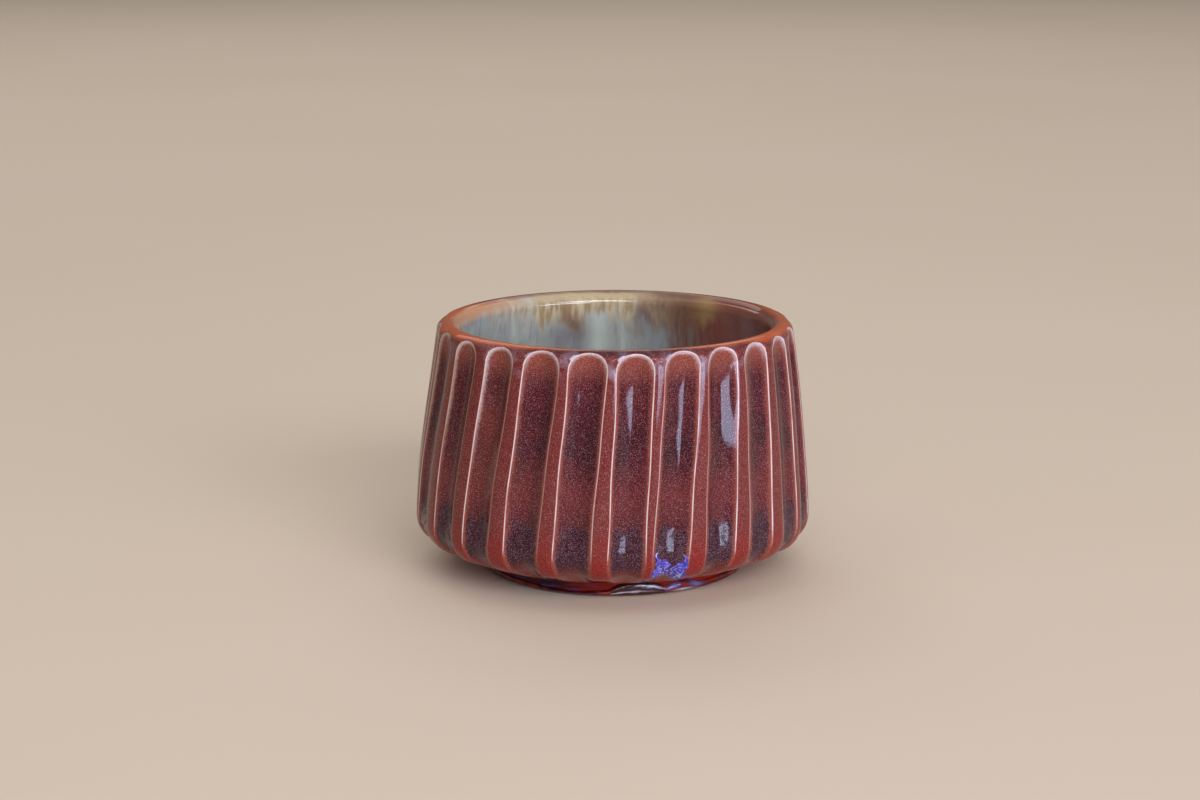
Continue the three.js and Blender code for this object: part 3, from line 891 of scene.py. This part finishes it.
shader, place = finish_on(pool)
away = place.marked("away")
swirl = place.noise(0.34, 2.0, 0.5)
lines = ((away + swirl * 3.4) * 8.0).math("SINE")
colour = place.noise(0.9, 3.0).soft(0.4, 0.6).between(POOL_DEEP, POOL_BLUE)
colour = colour.over(lines.soft(0.6, 1.0) * place.noise(0.7).soft(0.42, 0.56) * 0.8, POOL_PALE)
colour = colour.over(lines.soft(-0.7, -1.0) * 0.5, PLUM_DARK)
colour = colour.over((away + (swirl - 0.5) * 0.8).soft(0.75, 1.05), PLUM)
lay(shader, colour, 0.08 + swirl * 0.06, swirl, 0.05)
settle(pool, "flute_glaze_pool")


# Foot roll
# Glaze that ran all the way down and stopped in a thick roll round the foot, just above the bare sole. It is
# dark red, with violet and pale streaks at the front, where it stands highest in two lenses; the pale
# streaks and the pale line along the lens are partly painted highlights.
ROLL_STEPS = 240
ROLL_HEIGHT = 1.5
ROLL_THICKNESS = 0.75
ROLL_SEAT = 0.05
ROLL_BLANK = 0.5  # thickness of the even roll that it is shaped from
ROLL_LEVEL = 0.75  # usual share of the height and the thickness
ROLL_WAVES = ((0.2, 3, 0), (0.15, 7, 1))  # share of the height, waves round the foot, phase
ROLL_LENSES = ((10, 13, 3.0), (31, 13, 2.3))  # degrees from the front, half width in degrees, height
ROLL_DARK = fired("431019")
ROLL_VIOLET = fired("6f6aa6")
ROLL_PALE_AND_HIGHLIGHT = fired("c9c4d4")

roll_foot = FOOT_TOP[0] + ROLL_SEAT
section = np.radians(np.linspace(-90, 90, 13))
ring = np.column_stack([
    roll_foot + ROLL_BLANK * np.cos(section),
    GLAZE_STOP[1] + ROLL_HEIGHT * (1 + np.sin(section)) / 2,
])
roll = turned("foot_glaze_roll", ring, ROLL_STEPS, is_ring=True)
points = points_of(roll)
turn = np.arctan2(points[:, 0], -points[:, 1])
share = (points[:, 2] - GLAZE_STOP[1]) / ROLL_HEIGHT
out = np.hypot(points[:, 0], points[:, 1]) - roll_foot
lens, side_lens = (
    np.clip(1 - ((turn - math.radians(angle)) / math.radians(half)) ** 2, 0, 1)
    for angle, half, _ in ROLL_LENSES
)
uneven = ROLL_LEVEL + sum(size * np.sin(count * turn + phase) for size, count, phase in ROLL_WAVES)
height = ROLL_HEIGHT * uneven * (1 - lens) + ROLL_LENSES[0][2] * lens
height = np.maximum(height, ROLL_LENSES[1][2] * side_lens)
thickness = ROLL_THICKNESS * (ROLL_LEVEL + (1 - ROLL_LEVEL) * np.cos(3 * turn)) / ROLL_BLANK
set_points(roll, around(turn, roll_foot + out * thickness, GLAZE_STOP[1] + share * height))
mark(roll, {"share": share, "lens": lens})

shader, place = finish_on(roll)
x, y, z = parts_of(place)
angle = x.math("ARCTAN2", y * -1.0)
share, lens = place.marked("share"), place.marked("lens")
streak = place.node("CombineXYZ", {0: angle * 14.0, 1: z * 1.6, 2: 0.0}).noise(1.0, 3.0, 0.6)
ragged = share + (streak - 0.5) * 0.3
torn = share + (streak - 0.5) * 0.7
colour = streak.soft(0.35, 0.6).between(FOOT_RED, ROLL_DARK)
colour = colour.over(angle.bell(-0.36, 0.2) * 0.8, PLUM_DARK)
colour = colour.over(lens.soft(0.05, 0.35) * 0.85, PLUM_DARK)
colour = colour.over(angle.bell(-0.37, 0.16) * ragged.bell(0.22, 0.1) * 0.85, ROLL_VIOLET)
patches = angle.bell(0.45, 0.05) + angle.bell(0.66, 0.06)
colour = colour.over(patches * (share + (streak - 0.5) * 0.8).soft(0.35, 0.55) * 0.85, ROLL_VIOLET)
# pale streaks and the pale line along the lens's lower edge, partly painted highlights
colour = colour.over(angle.bell(0.54, 0.08) * share.bell(0.2, 0.1) * 0.8, ROLL_PALE_AND_HIGHLIGHT)
colour = colour.over(angle.bell(0.28, 0.1) * torn.bell(0.68, 0.12) * 0.6, ROLL_PALE_AND_HIGHLIGHT)
pale_highlight_line = ragged.bell(0.3, 0.06) * angle.bell(0.08, 0.16)
colour = colour.over(lens.soft(0.02, 0.3) * pale_highlight_line * 0.8, ROLL_PALE_AND_HIGHLIGHT)
lay(shader, colour, 0.08 + streak * 0.05, streak, 0.03)
settle(roll, "foot_glaze_roll")


# Floor, lights and camera
# A plain pale floor and four soft lamps: a low, wide window to the front right, a wide one at the front, a
# large one overhead and one behind. The camera stands where the photograph was taken from.
FLOOR_SIZE_M = 12.0
FLOOR_PALE = fired("e3d0bc")
FLOOR_PALER = fired("e9d7c5")
LAMP_AIM_M = (0, 0, 0.033)
WINDOW_BLUE = (0.62, 0.71, 1.0)
WHITE = (1.0, 1.0, 1.0)
WARM_WHITE = (1.0, 0.99, 0.97)
ROOM_COLOUR = (1.0, 0.95, 0.9, 1)
ROOM_STRENGTH = 0.16
CAMERA_M = (-0.0031, -0.5708, 0.1569)
CAMERA_PITCH = 11.99  # degrees below level
LENS = 82.47
SENSOR = 36

bpy.ops.object.select_all(action="DESELECT")
bpy.ops.mesh.primitive_plane_add(size=FLOOR_SIZE_M)
floor_plane = bpy.context.object
floor_plane.name = "floor"
shader, place = finish_on(floor_plane)
mottle = place.noise(0.004, 3.0)
colour = mottle.between(FLOOR_PALE, FLOOR_PALER)
lay(shader, colour, 0.75 + mottle * 0.1, mottle, 0.02)


def soft_light(name, azimuth, elevation, distance_m, size_m, watts, colour, beam=180):
    """A rectangular lamp at angles to the front and above the table, in degrees, turned to the cup."""
    turn, lift = math.radians(azimuth), math.radians(elevation)
    away = np.array([math.sin(turn) * math.cos(lift), -math.cos(turn) * math.cos(lift), math.sin(lift)])
    bpy.ops.object.light_add(type="AREA", location=np.array(LAMP_AIM_M) + away * distance_m)
    lamp = bpy.context.object
    lamp.name = name
    lamp.data.shape = "RECTANGLE"
    lamp.data.size, lamp.data.size_y = size_m
    lamp.data.energy = watts
    lamp.data.color = colour
    lamp.data.spread = math.radians(beam)
    lamp.rotation_euler = (math.pi / 2 - lift, 0, turn)


# degrees to the right of the front and up, distance, width and height, watts, colour
soft_light("window", 38.5, 5.95, 1.3, (0.94, 0.155), 7.9, WINDOW_BLUE)
soft_light("front", 15, 26, 1.8, (2.0, 0.5), 6.2, WHITE, 80)
soft_light("ceiling", 0, 84, 2.4, (4.0, 3.0), 19, WARM_WHITE)
soft_light("behind", 190, 42, 2.0, (1.8, 1.0), 8, WARM_WHITE)

world = bpy.data.worlds.new("studio")
bpy.context.scene.world = world
world.use_nodes = True
world.node_tree.nodes["Background"].inputs["Color"].default_value = ROOM_COLOUR
world.node_tree.nodes["Background"].inputs["Strength"].default_value = ROOM_STRENGTH

bpy.ops.object.camera_add(location=CAMERA_M, rotation=(math.radians(90 - CAMERA_PITCH), 0, 0))
camera = bpy.context.object
camera.data.lens = LENS
camera.data.sensor_width = SENSOR
bpy.context.scene.camera = camera
bpy.context.scene.view_settings.view_transform = "Standard"
